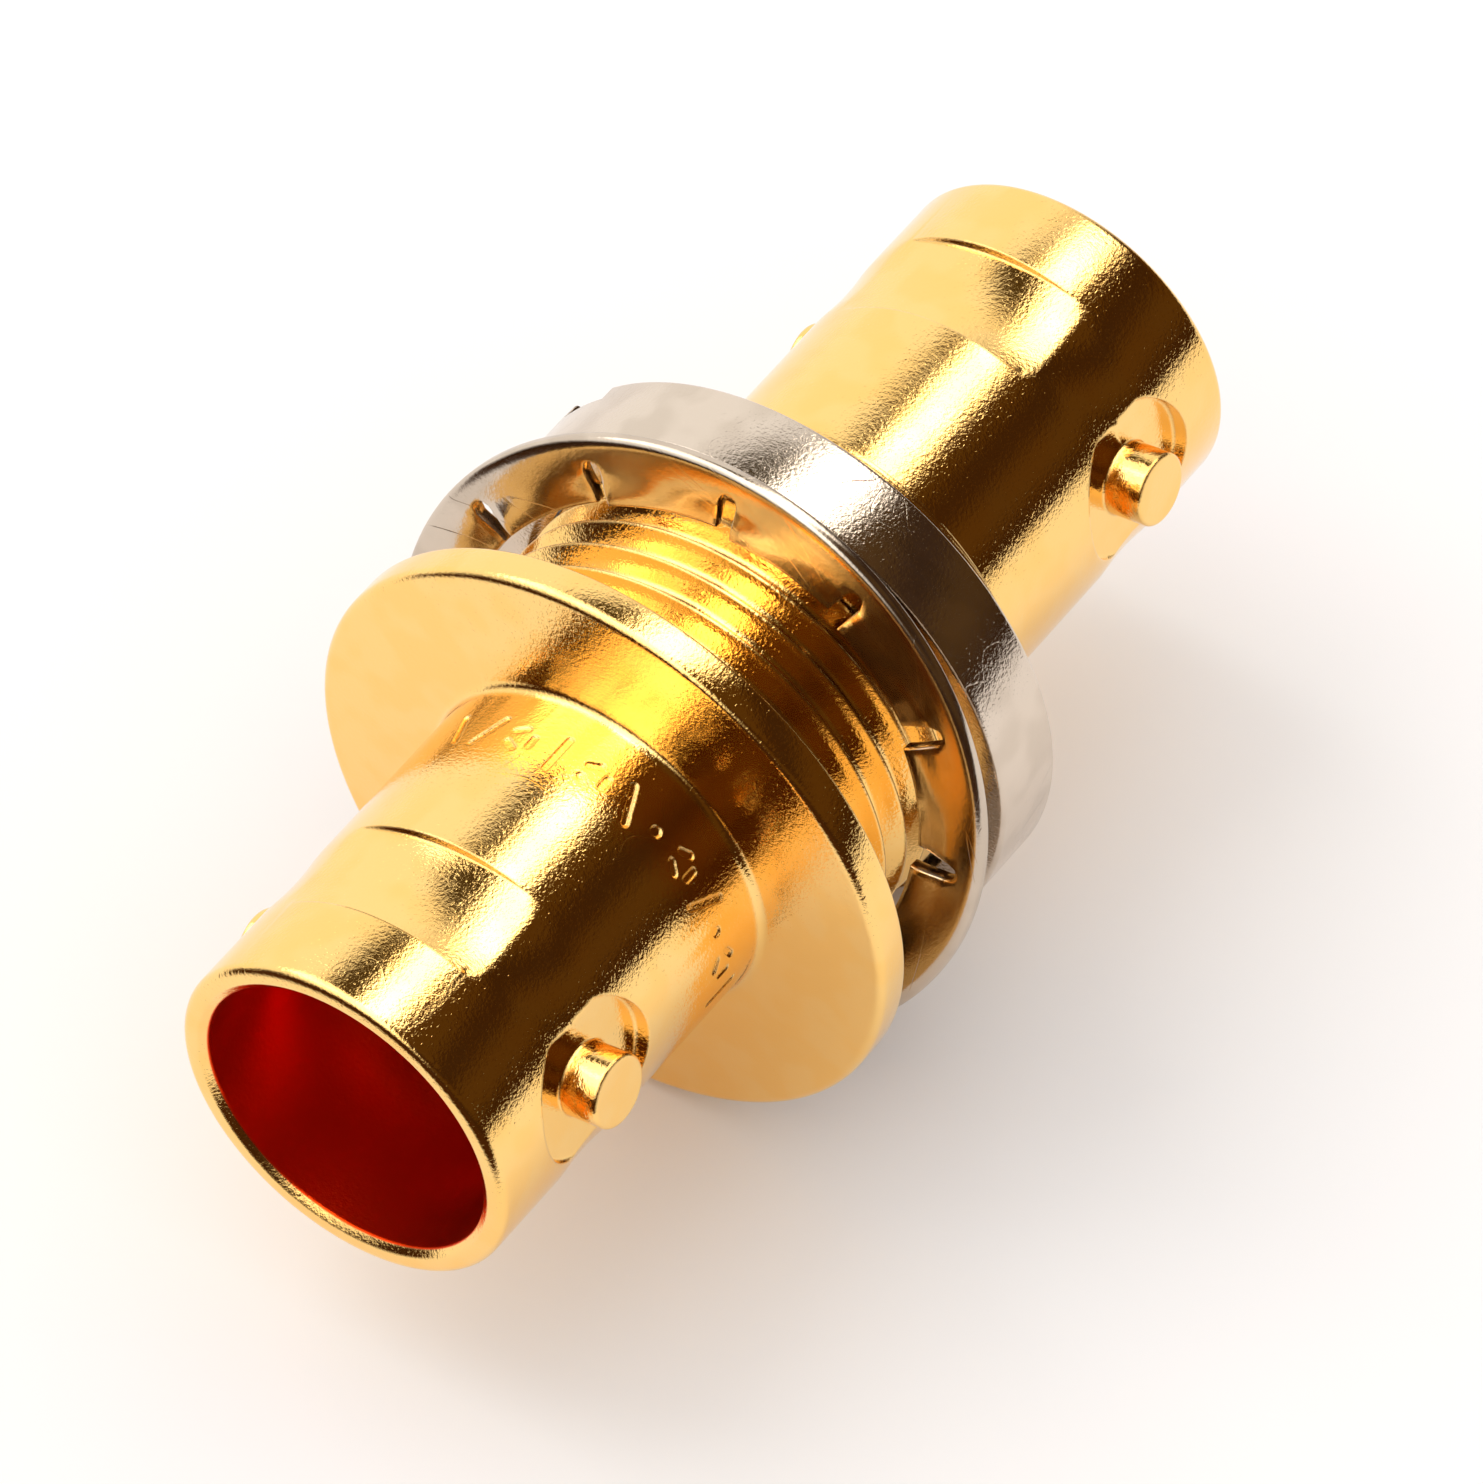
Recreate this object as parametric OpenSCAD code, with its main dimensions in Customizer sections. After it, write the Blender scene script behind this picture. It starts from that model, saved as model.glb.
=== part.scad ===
// Jack-to-jack bayonet coaxial adapter for a panel.
// The axis is +Z. The adapter stands on the rim of its rear socket at z = 0, and the
// front socket, with the flange below it, is at the top. The bayonet lugs are on the X axis.

/* [Barrel] */
// Length from rim to rim
total_length = 31.4; // [30:0.1:34]
// Outside diameter of both socket barrels
barrel_d = 9.65; // [9.6:0.01:9.7]
// Thickness of the wall around the mouth
wall_t = 0.725; // [0.68:0.005:0.76]
// Length of the mouth's straight wall
mouth_depth = 5; // [4.8:0.05:5.1]
// Step inwards behind the mouth, where the plug's fingers stop
mouth_step = 0.5; // [0.4:0.05:0.7]
// Depth of the socket's floor below its rim
socket_depth = 8.5; // [8.3:0.1:8.7]
// Width of the bevel around the rim
rim_bevel = 0.25; // [0.1:0.01:0.3]

/* [Bayonet] */
// Diameter of a bayonet lug
lug_d = 1.96; // [1.91:0.01:2.06]
// Height of a lug above the barrel
lug_h = 0.665; // [0.66:0.005:0.71]
// Depth of the lugs' centre line below the rim
lug_depth = 3.85; // [3.7:0.05:4.1]
// Diameter of the hollow cutter that leaves the lug standing
lug_cutter_d = 4.3; // [3.8:0.1:4.4]
// Depth that the cutter goes below the barrel's surface
lug_cut = 0.43; // [0.3:0.01:0.45]
// Width of the milled waist that runs around the barrel between the lugs
waist_w = 2.85; // [2.6:0.05:3]
// Depth of the waist beside a lug
waist_cut = 0.1; // [0.05:0.01:0.15]
// Depth of the waist half-way between the lugs
waist_mid_cut = 0.2; // [0.16:0.01:0.25]

/* [Flange] */
// How far the flange reaches past the thread
flange_lip = 2.18; // [2:0.02:2.7]
// Thickness of the flange
flange_t = 1; // [0.8:0.1:1.5]
// Distance from the front rim to the flange's front face
flange_depth = 10.65; // [10.5:0.05:11.5]
// Width of the bevel at the flange's front edge
flange_bevel = 0.25; // [0.1:0.01:0.3]

/* [Thread] */
// Diameter over the thread's crests
thread_d = 12.54; // [12.5:0.01:12.6]
// Distance from one crest to the next
thread_pitch = 0.907; // [0.9:0.001:0.92]
// Number of crests
thread_crests = 9; // [7:1:9]
// Plain neck between the flange and the first crest
thread_relief = 0.82; // [0.7:0.02:0.9]

/* [Ring nut] */
// Thickness of the nut's wall outside the thread
nut_wall = 1.555; // [1.3:0.005:2]
// Thickness of the nut
nut_t = 2.28; // [2:0.02:2.6]
// Distance from the flange's rear face to the nut's front face
nut_gap = 5.22; // [5:0.02:5.3]
// Radial play between the nut's bore and the crests
nut_play = 0.05; // [0.02:0.01:0.08]
// Width of a spanner slot
nut_slot_w = 1.8; // [1.4:0.1:2.2]
// Depth of a spanner slot
nut_slot_t = 0.55; // [0.4:0.05:0.8]

/* [Lock washer] */
// How much more the washer measures across than the flange
washer_over = 0.15; // [0:0.05:0.25]
// Width of the washer's rim outside the slots
washer_rim = 0.665; // [0.5:0.005:0.9]
// Thickness of the washer's sheet
washer_t = 0.4; // [0.3:0.05:0.45]
// Radial play between the tips of the teeth and the crests
washer_play = 0.39; // [0.37:0.01:0.42]
// Number of inner teeth
washer_teeth = 12; // [10:1:14]
// Width of the slot between two teeth
washer_slot_w = 0.5; // [0.4:0.05:0.7]
// Twist of each tooth out of the sheet, in degrees
tooth_twist = 6; // [3:0.5:7]
// Distance from the flange's rear face to the washer's centre
washer_gap = 2.9; // [2.8:0.02:3]
// Lean of the loose washer, in degrees
washer_lean = 12; // [6:0.5:12]

/* [Inside] */
// Diameter of the core bore that holds the insulators
core_d = 6.5; // [6:0.1:6.8]
// Diameter of the centre contact
contact_d = 2.15; // [2.1:0.01:2.2]
// Diameter of the hole in each end of the contact
contact_bore_d = 1.4; // [1.35:0.01:1.45]
// Depth of that hole
contact_bore_depth = 4.5; // [4:0.1:5]
// Depth of the contact's tip below the rim
contact_depth = 5.3; // [5.2:0.1:5.6]
// Height of the insulator's boss above the socket's floor
boss_h = 1.2; // [0.6:0.1:1.6]

/* [Hidden] */
$fn = 96;
gold = "#d9a441";
nickel = "#b9b7b0";
ptfe = "#f0eee6";
eps = 0.01;

barrel_r = barrel_d / 2;
mouth_r = barrel_r - wall_t;
inner_r = mouth_r - mouth_step;
core_r = core_d / 2;
middle = total_length / 2;
flange_top = total_length - flange_depth;
flange_low = flange_top - flange_t;

// Rim and socket
rim_bevel_h = 0.16;
mouth_lead = 0.05;
step_taper = 0.3;
step_depth = mouth_depth + step_taper;

// Bayonet
lug_reach = barrel_r + lug_h;
lug_edge = 0.07;
lug_flat = barrel_r - lug_cut;
lug_root = lug_flat - 0.08;
waist_r = barrel_r - waist_cut;
waist_arc_r = 6.2;
waist_arc_shift = waist_arc_r - (barrel_r - waist_mid_cut);

// Flange and thread
flange_fillet = 0.25;
flange_rear_bevel = 0.08;
thread_r = thread_d / 2;
flange_r = thread_r + flange_lip;
thread_root_r = thread_r - 0.61 * thread_pitch;
crest_flat = thread_pitch / 8;
thread_top = flange_low - thread_relief;
thread_low = thread_top - thread_crests * thread_pitch;
shell_low = thread_low - 0.08;
press_r = barrel_r;

// Ring nut and washer
nut_bore_r = thread_r + nut_play;
nut_r = thread_r + nut_wall;
nut_top = flange_low - nut_gap;
nut_low = nut_top - nut_t;
nut_bevel = 0.14;
nut_bore_bevel = 0.3;
nut_slot_angle = -49;
washer_r = flange_r + washer_over / 2;
tooth_tip_r = thread_r + washer_play;
tooth_root_r = washer_r - washer_rim;
washer_bevel = 0.14;
washer_z = flange_low - washer_gap;
washer_low_side = -111;
washer_slot_angle = -41;
washer_shift = [0.09, -0.06];

// Inside
contact_r = contact_d / 2;
contact_slot_w = 0.25;
contact_slot_l = 3.4;
contact_tip_bevel = 0.15;
collar_r = 1.6;
collar_t = 0.8;
boss_r = 2.1;

// Half section of one socket, in radius and depth below its rim, down to a given depth
module socket_section(depth) {
    polygon([
        [mouth_r + mouth_lead, 0],
        [barrel_r - rim_bevel, 0],
        [barrel_r, rim_bevel_h],
        [barrel_r, depth],
        [core_r, depth],
        [core_r, socket_depth],
        [inner_r, socket_depth],
        [inner_r, step_depth],
        [mouth_r, mouth_depth],
        [mouth_r, mouth_lead]
    ]);
}

// Outline of the milled waist: a round with two flatter arcs between the lugs
module waist_outline() {
    intersection() {
        circle(r = waist_r);
        translate([0, -waist_arc_shift]) circle(r = waist_arc_r);
        translate([0, waist_arc_shift]) circle(r = waist_arc_r);
    }
}

// Ring of material that the waist takes off the barrel
module waist_ring() {
    translate([0, 0, lug_depth - waist_w / 2])
        linear_extrude(waist_w)
            difference() {
                circle(r = barrel_r + 1);
                waist_outline();
            }
}

// One lug, lying along +X
module lug() {
    lug_r = lug_d / 2;
    translate([lug_root, 0, lug_depth])
        rotate([0, 90, 0])
            rotate_extrude($fn = 48)
                polygon([
                    [0, 0],
                    [lug_r, 0],
                    [lug_r, lug_reach - lug_root - lug_edge],
                    [lug_r - lug_edge, lug_reach - lug_root],
                    [0, lug_reach - lug_root]
                ]);
}

// Flat left by the hollow cutter around one lug
module lug_spot() {
    translate([lug_flat, 0, lug_depth])
        rotate([0, 90, 0])
            cylinder(d = lug_cutter_d, h = lug_cut + 1, $fn = 64);
}

// Socket end, with its rim at z = 0 and its depth along +Z
module socket_end(depth) {
    difference() {
        rotate_extrude() socket_section(depth);
        waist_ring();
        for (side = [0, 180]) rotate([0, 0, side]) lug_spot();
    }
    for (side = [0, 180]) rotate([0, 0, side]) lug();
}

// Half section of the flange, with the fillet where the barrel meets it
module flange_section() {
    polygon([
        [core_r, flange_low],
        [flange_r - flange_rear_bevel, flange_low],
        [flange_r, flange_low + flange_rear_bevel],
        [flange_r, flange_top - flange_bevel],
        [flange_r - flange_bevel, flange_top],
        [core_r, flange_top]
    ]);
    difference() {
        translate([barrel_r - eps, flange_top - eps]) square(flange_fillet + eps);
        translate([barrel_r + flange_fillet, flange_top + flange_fillet]) circle(r = flange_fillet);
    }
}

// Half section of the threaded neck and the bore that the rear shell is pressed into
module thread_section() {
    crests = [
        for (i = [0 : thread_crests - 1])
            let (crest = thread_top - (i + 0.5) * thread_pitch)
                each [
                    [thread_root_r, crest + thread_pitch / 2],
                    [thread_r, crest + crest_flat / 2],
                    [thread_r, crest - crest_flat / 2]
                ]
    ];
    polygon(concat(
        [[core_r, flange_low + eps], [thread_root_r, flange_low + eps]],
        crests,
        [
            [thread_root_r, thread_low],
            [thread_root_r, shell_low],
            [press_r, shell_low],
            [press_r, middle],
            [core_r, middle]
        ]
    ));
}

module front_shell() {
    color(gold) {
        translate([0, 0, total_length]) mirror([0, 0, 1]) socket_end(flange_depth + eps);
        rotate_extrude() flange_section();
        rotate_extrude() thread_section();
    }
}

module rear_shell() {
    color(gold) socket_end(middle);
}

// Insulator for one end, with the rim of its socket at z = 0
module insulator() {
    rotate_extrude()
        polygon([
            [contact_r, socket_depth - boss_h],
            [boss_r, socket_depth - boss_h],
            [boss_r, socket_depth],
            [core_r, socket_depth],
            [core_r, middle],
            [collar_r, middle],
            [collar_r, middle - collar_t / 2],
            [contact_r, middle - collar_t / 2]
        ]);
}

module front_insulator() {
    color(ptfe) translate([0, 0, total_length]) mirror([0, 0, 1]) insulator();
}

module rear_insulator() {
    color(ptfe) insulator();
}

// Half of the centre contact, from its tip to the middle of its collar
module contact_half() {
    difference() {
        rotate_extrude($fn = 48)
            polygon([
                [contact_bore_d / 2, contact_depth],
                [contact_r - contact_tip_bevel, contact_depth],
                [contact_r, contact_depth + contact_tip_bevel],
                [contact_r, middle - collar_t / 2],
                [collar_r, middle - collar_t / 2],
                [collar_r, middle],
                [0, middle],
                [0, contact_depth + contact_bore_depth],
                [contact_bore_d / 2, contact_depth + contact_bore_depth]
            ]);
        for (turn = [45, 135])
            rotate([0, 0, turn])
                translate([-contact_d, -contact_slot_w / 2, contact_depth - 1])
                    cube([2 * contact_d, contact_slot_w, contact_slot_l + 1]);
    }
}

module centre_contact() {
    color(gold) {
        contact_half();
        translate([0, 0, total_length]) mirror([0, 0, 1]) contact_half();
    }
}

// One twisted tooth, along +X, in the sheet's own frame
module washer_tooth() {
    half_angle = 180 / washer_teeth;
    outer = (washer_r + tooth_root_r) / 2;
    inner = tooth_tip_r - 0.4;
    half_slot = washer_slot_w / 2;
    outer_half = outer * sin(half_angle) - half_slot;
    inner_half = inner * sin(half_angle) - half_slot;
    translate([0, 0, -washer_t / 2])
        rotate([tooth_twist, 0, 0])
            translate([0, 0, -washer_t / 2])
                linear_extrude(washer_t)
                    polygon([
                        [inner, -inner_half],
                        [outer, -outer_half],
                        [outer, outer_half],
                        [inner, inner_half]
                    ]);
}

// The washer in its own frame, with its front face at z = 0
module washer_flat() {
    difference() {
        union() {
            rotate_extrude()
                polygon([
                    [tooth_root_r, -washer_t],
                    [washer_r, -washer_t],
                    [washer_r, -washer_bevel],
                    [washer_r - washer_bevel, 0],
                    [tooth_root_r, 0]
                ]);
            for (i = [0 : washer_teeth - 1])
                rotate([0, 0, washer_slot_angle + (i + 0.5) * 360 / washer_teeth])
                    washer_tooth();
        }
        translate([0, 0, -3]) cylinder(r = tooth_tip_r, h = 6);
    }
}

module lock_washer() {
    color(nickel)
        translate([washer_shift[0], washer_shift[1], washer_z])
            rotate([0, 0, washer_low_side])
                rotate([0, washer_lean, 0])
                    rotate([0, 0, -washer_low_side])
                        washer_flat();
}

module ring_nut() {
    color(nickel)
        difference() {
            rotate_extrude()
                polygon([
                    [nut_bore_r, nut_low + nut_bore_bevel],
                    [nut_bore_r + nut_bore_bevel, nut_low],
                    [nut_r - nut_bevel, nut_low],
                    [nut_r, nut_low + nut_bevel],
                    [nut_r, nut_top - nut_bevel],
                    [nut_r - nut_bevel, nut_top],
                    [nut_bore_r + nut_bore_bevel, nut_top],
                    [nut_bore_r, nut_top - nut_bore_bevel]
                ]);
            for (side = [0, 180])
                rotate([0, 0, nut_slot_angle + side])
                    translate([nut_bore_r - 1, -nut_slot_w / 2, nut_low - 1])
                        cube([nut_r, nut_slot_w, nut_slot_t + 1]);
        }
}

front_shell();
rear_shell();
front_insulator();
rear_insulator();
centre_contact();
lock_washer();
ring_nut();
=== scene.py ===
import math
import bpy
import bmesh
from mathutils import Matrix, Vector


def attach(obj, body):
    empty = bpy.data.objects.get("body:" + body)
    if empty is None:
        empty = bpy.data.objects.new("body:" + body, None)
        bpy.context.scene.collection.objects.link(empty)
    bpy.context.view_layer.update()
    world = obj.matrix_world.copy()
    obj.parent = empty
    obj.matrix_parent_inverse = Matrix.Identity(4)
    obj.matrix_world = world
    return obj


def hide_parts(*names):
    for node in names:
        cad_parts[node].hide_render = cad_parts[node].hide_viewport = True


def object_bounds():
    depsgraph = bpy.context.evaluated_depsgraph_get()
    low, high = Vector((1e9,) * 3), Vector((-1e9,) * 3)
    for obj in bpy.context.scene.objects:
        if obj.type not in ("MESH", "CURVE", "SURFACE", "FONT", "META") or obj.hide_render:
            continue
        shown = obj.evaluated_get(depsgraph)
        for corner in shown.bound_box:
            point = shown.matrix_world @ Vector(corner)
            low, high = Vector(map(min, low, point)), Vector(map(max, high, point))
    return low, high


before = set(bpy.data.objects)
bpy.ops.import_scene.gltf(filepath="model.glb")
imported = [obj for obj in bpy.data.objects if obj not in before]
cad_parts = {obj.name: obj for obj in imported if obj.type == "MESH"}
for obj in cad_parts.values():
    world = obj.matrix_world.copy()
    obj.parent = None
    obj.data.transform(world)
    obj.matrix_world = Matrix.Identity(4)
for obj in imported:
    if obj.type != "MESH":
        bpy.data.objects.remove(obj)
cadLow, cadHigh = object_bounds()
print("frame loaded:", sorted(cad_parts))

mm = 0.001
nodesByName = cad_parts
scene = bpy.context.scene


# ---- how the adapter lies and how it is looked at ----

viewSettings = {
    "azimuth": -125.656,      # degrees from +X, where the camera stands
    "elevation": 32.437,
    "roll": -137.588,
    "distance": 0.3,
    "aim": (-0.00305, -0.00265, 0.01828),
    "lens": 297.57,
    "tableAzimuth": 260.43,   # side of the adapter that faces up on the table
}


def fromAngles(azimuth, elevation):
    a = math.radians(azimuth)
    e = math.radians(elevation)
    return Vector((math.cos(a) * math.cos(e), math.sin(a) * math.cos(e), math.sin(e)))


def makeCamera(settings):
    back = fromAngles(settings["azimuth"], settings["elevation"])
    levelRight = (-back).cross(Vector((0, 0, 1))).normalized()
    levelUp = levelRight.cross(-back)
    roll = math.radians(settings["roll"])
    right = levelRight * math.cos(roll) + levelUp * math.sin(roll)
    up = right.cross(-back)
    data = bpy.data.cameras.new("viewCamera")
    data.sensor_width = 36
    data.lens = settings["lens"]
    data.clip_start = 0.01
    data.clip_end = 20
    camera = bpy.data.objects.new("viewCamera", data)
    scene.collection.objects.link(camera)
    place = Vector(settings["aim"]) + back * settings["distance"]
    turn = Matrix((right, up, back)).transposed().to_4x4()
    camera.matrix_world = Matrix.Translation(place) @ turn
    scene.camera = camera
    return right, -back


cameraRight, cameraForward = makeCamera(viewSettings)
tableUp = fromAngles(viewSettings["tableAzimuth"], 0)
awayDirection = (cameraForward - tableUp * cameraForward.dot(tableUp)).normalized()
print("camera made")


# ---- small helpers for node trees ----

def addNode(tree, kind, settings=None, **inputs):
    made = tree.nodes.new(kind)
    for name, value in (settings or {}).items():
        setattr(made, name, value)
    for name, value in inputs.items():
        key = name.replace("_", " ")
        slot = made.inputs[int(key[1:])] if key[0] == "i" and key[1:].isdigit() else made.inputs[key]
        if isinstance(value, bpy.types.NodeSocket):
            tree.links.new(value, slot)
        else:
            slot.default_value = value
    return made


def calc(tree, operation, a, b=0.0, c=0.0, clamp=False):
    made = addNode(tree, "ShaderNodeMath", {"operation": operation, "use_clamp": clamp}, i0=a, i1=b, i2=c)
    return made.outputs[0]


def vectorCalc(tree, operation, a, b=(0, 0, 0)):
    made = addNode(tree, "ShaderNodeVectorMath", {"operation": operation}, i0=a, i1=b)
    return made.outputs["Value" if operation in ("DOT_PRODUCT", "LENGTH", "DISTANCE") else "Vector"]


def smoothStep(tree, value, low, high, toLow=0.0, toHigh=1.0):
    made = addNode(tree, "ShaderNodeMapRange", {"interpolation_type": "SMOOTHSTEP"},
                   Value=value, From_Min=low, From_Max=high, To_Min=toLow, To_Max=toHigh)
    return made.outputs["Result"]


def mixColor(tree, factor, a, b, blend="MIX"):
    made = addNode(tree, "ShaderNodeMix", {"data_type": "RGBA", "blend_type": blend},
                   i0=factor, i6=a, i7=b)
    return made.outputs[2]


def newGroup(name, inputs, outputs):
    tree = bpy.data.node_groups.new(name, "ShaderNodeTree")
    for label, kind, value in inputs:
        made = tree.interface.new_socket(label, in_out="INPUT", socket_type=kind)
        if value is not None:
            made.default_value = value
    for label, kind in outputs:
        tree.interface.new_socket(label, in_out="OUTPUT", socket_type=kind)
    return tree, tree.nodes.new("NodeGroupInput").outputs, tree.nodes.new("NodeGroupOutput").inputs


def useGroup(tree, group, **inputs):
    made = tree.nodes.new("ShaderNodeGroup")
    made.node_tree = group
    for name, value in inputs.items():
        slot = made.inputs[name.replace("_", " ")]
        if isinstance(value, bpy.types.NodeSocket):
            tree.links.new(value, slot)
        else:
            slot.default_value = value
    return made.outputs


floatSocket = "NodeSocketFloat"
vectorSocket = "NodeSocketVector"


# ---- shapes of the turned, milled and stamped parts, in millimetres ----

turnedDetail = {
    "columns": 288,          # steps around the axis
    "cornerSteps": 5,        # steps over a rounded edge
    "sharpAngle": 32.0,      # degrees, above which an edge stays crisp
}


def roundedPath(corners, steps):
    # corners are (radius, height, rounding); a closed path comes back
    path = []
    count = len(corners)
    for index, (radius, height, rounding) in enumerate(corners):
        here = Vector((radius, height))
        if not rounding:
            path.append(here)
            continue
        before = Vector(corners[index - 1][:2]) - here
        after = Vector(corners[(index + 1) % count][:2]) - here
        opening = before.angle(after)
        reach = rounding / math.tan(opening / 2)
        first = here + before.normalized() * reach
        last = here + after.normalized() * reach
        middleLine = (before.normalized() + after.normalized()).normalized()
        centre = here + middleLine * (rounding / math.sin(opening / 2))
        startAngle = math.atan2(first.y - centre.y, first.x - centre.x)
        turn = math.atan2(last.y - centre.y, last.x - centre.x) - startAngle
        turn = (turn + math.pi) % (2 * math.pi) - math.pi
        for step in range(steps + 1):
            angle = startAngle + turn * step / steps
            path.append(centre + Vector((math.cos(angle), math.sin(angle))) * rounding)
    return [tuple(point) for point in path]


def spinRings(bm, rings, columns, closed):
    # rings are (radius, height), where radius may be a function of the angle
    made = []
    for radius, height in rings:
        ring = []
        for column in range(columns):
            angle = 2 * math.pi * column / columns
            r = radius(angle) if callable(radius) else radius
            ring.append(bm.verts.new((r * math.cos(angle) * mm, r * math.sin(angle) * mm, height * mm)))
        made.append(ring)
    last = len(made) if closed else len(made) - 1
    for index in range(last):
        low, high = made[index], made[(index + 1) % len(made)]
        for column in range(columns):
            beside = (column + 1) % columns
            bm.faces.new((low[column], low[beside], high[beside], high[column]))
    return made


def finishMesh(name, bm, merge=0.0):
    if merge:
        bmesh.ops.remove_doubles(bm, verts=bm.verts, dist=merge)
        bmesh.ops.dissolve_degenerate(bm, edges=bm.edges, dist=merge)
    bmesh.ops.recalc_face_normals(bm, faces=bm.faces)
    mesh = bpy.data.meshes.new(name)
    bm.to_mesh(mesh)
    bm.free()
    piece = bpy.data.objects.new(name, mesh)
    scene.collection.objects.link(piece)
    return piece


def carve(piece, tool, operation):
    # the tool is used up
    cut = piece.modifiers.new(operation.lower(), "BOOLEAN")
    cut.operation = operation
    cut.object = tool
    cut.solver = "EXACT"
    bpy.context.view_layer.update()
    ready = piece.evaluated_get(bpy.context.evaluated_depsgraph_get())
    mesh = bpy.data.meshes.new_from_object(ready)
    old = piece.data
    piece.modifiers.clear()
    piece.data = mesh
    bpy.data.meshes.remove(old)
    bpy.data.objects.remove(tool)


def smoothPiece(piece, settings):
    mesh = piece.data
    mesh.shade_smooth()
    mesh.set_sharp_from_angle(angle=math.radians(settings["sharpAngle"]))
    even = piece.modifiers.new("evenNormals", "WEIGHTED_NORMAL")
    even.keep_sharp = True
    even.weight = 70


def place(piece, node, body, slot):
    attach(piece, body)
    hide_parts(node)
    return piece


sizes = {
    "length": (cadHigh.z - cadLow.z) / mm,
    "barrelRadius": 4.825,
    "mouthRadius": 4.1,
    "innerRadius": 3.6,
    "coreRadius": 3.25,
    "mouthDepth": 5.0,
    "stepDepth": 5.3,
    "socketDepth": 8.5,
    "rimRounding": 0.24,
    "leadRadius": 4.32,      # where the lead-in bevel meets the flat of the rim
    "leadDepth": 0.16,
    "rimRise": 0.14,         # how far the front rim stands above the plain solid
    "flangeRadius": 8.45,
    "flangeTop": 20.75,
    "flangeLow": 19.75,
    "middle": 15.7,
}

waistShape = {
    "depth": 3.85,           # middle of the waist, below the rim
    "halfWidth": 1.425,
    "hollow": 0.12,          # how far its middle dips below its edges
    "edgeCut": 0.22,         # depth of its edges half-way between the lugs
    "lugSideCut": -0.05,     # the same beside a lug, where the edges run out
    "arcRadius": 6.4,
    "rows": 12,
}


def waistRadius(t):
    # radius around the axis at t, which runs from -1 to 1 across the waist
    barrel = sizes["barrelRadius"]
    shift = waistShape["arcRadius"] - (barrel - waistShape["edgeCut"])
    hollow = waistShape["hollow"] * (1 - t * t)

    def radius(angle):
        s = abs(math.sin(angle))
        c = math.cos(angle)
        arc = math.sqrt(waistShape["arcRadius"] ** 2 - (shift * c) ** 2) - shift * s
        edge = min(barrel - waistShape["lugSideCut"], arc)
        return min(barrel, edge - hollow)
    return radius


def socketRings(bottom, steps, rim=0.0):
    # from the core bore, up the inside, over the rim and down the outside to a depth
    s = sizes
    corners = [
        (s["coreRadius"], bottom, 0), (s["coreRadius"], s["socketDepth"], 0),
        (s["innerRadius"], s["socketDepth"], 0), (s["innerRadius"], s["stepDepth"], 0.05),
        (s["mouthRadius"], s["mouthDepth"], 0.05), (s["mouthRadius"], rim + s["leadDepth"], 0.05),
        (s["leadRadius"], rim, 0.04), (s["barrelRadius"], rim, s["rimRounding"]),
        (s["barrelRadius"], bottom, 0),
    ]
    rings = roundedPath(corners, steps)[:-1]
    top = waistShape["depth"] - waistShape["halfWidth"]
    rings.append((s["barrelRadius"], top - 0.02))
    rows = waistShape["rows"]
    for row in range(rows + 1):
        t = 2 * row / rows - 1
        rings.append((waistRadius(t), waistShape["depth"] + t * waistShape["halfWidth"]))
    rings.append((s["barrelRadius"], waistShape["depth"] + waistShape["halfWidth"] + 0.02))
    return rings


lugShape = {
    "radius": 0.98,
    "reach": 5.49,
    "edge": 0.09,
    "root": 4.2,
    "rootRounding": 0.07,
    "depth": 3.85,
    "flat": 4.395,           # distance from the axis to the flat around a lug
    "cutterRadius": 2.15,
    "cutterRounding": 0.05,
    "columns": 64,
}


def lyingPost(bm, rings, side, height, columns):
    # rings are (radius, distance from the axis), capped at both ends
    loops = []
    for radius, reach in rings:
        loop = []
        for column in range(columns):
            a = 2 * math.pi * column / columns
            loop.append(bm.verts.new((side * reach * mm, radius * math.cos(a) * mm,
                                      (height + radius * math.sin(a)) * mm)))
        loops.append(loop)
    for low, high in zip(loops, loops[1:]):
        for column in range(columns):
            beside = (column + 1) % columns
            bm.faces.new((low[column], low[beside], high[beside], high[column]))
    bm.faces.new(loops[0])
    bm.faces.new(loops[-1])


def millLugs(piece, height):
    shape = lugShape
    cutter = bmesh.new()
    posts = bmesh.new()
    edge = shape["edge"]
    for side in (-1, 1):
        lyingPost(cutter, [(shape["cutterRadius"] - shape["cutterRounding"], shape["flat"]),
                           (shape["cutterRadius"], shape["flat"] + shape["cutterRounding"]),
                           (shape["cutterRadius"], 5.6)], side, height, shape["columns"])
        rings = [(shape["radius"] + shape["rootRounding"], shape["root"])]
        for step in range(4):
            a = math.pi / 2 * step / 3
            rings.append((shape["radius"] + shape["rootRounding"] * (1 - math.sin(a)),
                          shape["flat"] - 0.004 + shape["rootRounding"] * (1 - math.cos(a))))
        for step in range(5):
            a = math.pi / 2 * step / 4
            rings.append((shape["radius"] - edge * (1 - math.cos(a)),
                          shape["reach"] - edge * (1 - math.sin(a))))
        lyingPost(posts, rings, side, height, shape["columns"])
    carve(piece, finishMesh("cutter", cutter), "DIFFERENCE")
    carve(piece, finishMesh("posts", posts), "UNION")


threadShape = {
    "crestRadius": 6.27,
    "rootRadius": 5.717,
    "pitch": 0.907,
    "top": 18.95,
    "low": 10.77,
    "crestHeight": 17.887,   # height of one crest at angle 0
    "runOut": 0.35,
    # share of the pitch below a crest, and height of the flank there
    "section": ((0.0, 1.0), (0.028, 1.0), (0.05, 0.95), (0.16, 0.68), (0.27, 0.41), (0.38, 0.14),
                (0.43, 0.04), (0.5, 0.0), (0.57, 0.04), (0.62, 0.14), (0.73, 0.41), (0.84, 0.68),
                (0.95, 0.95), (0.972, 1.0)),
}


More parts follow.
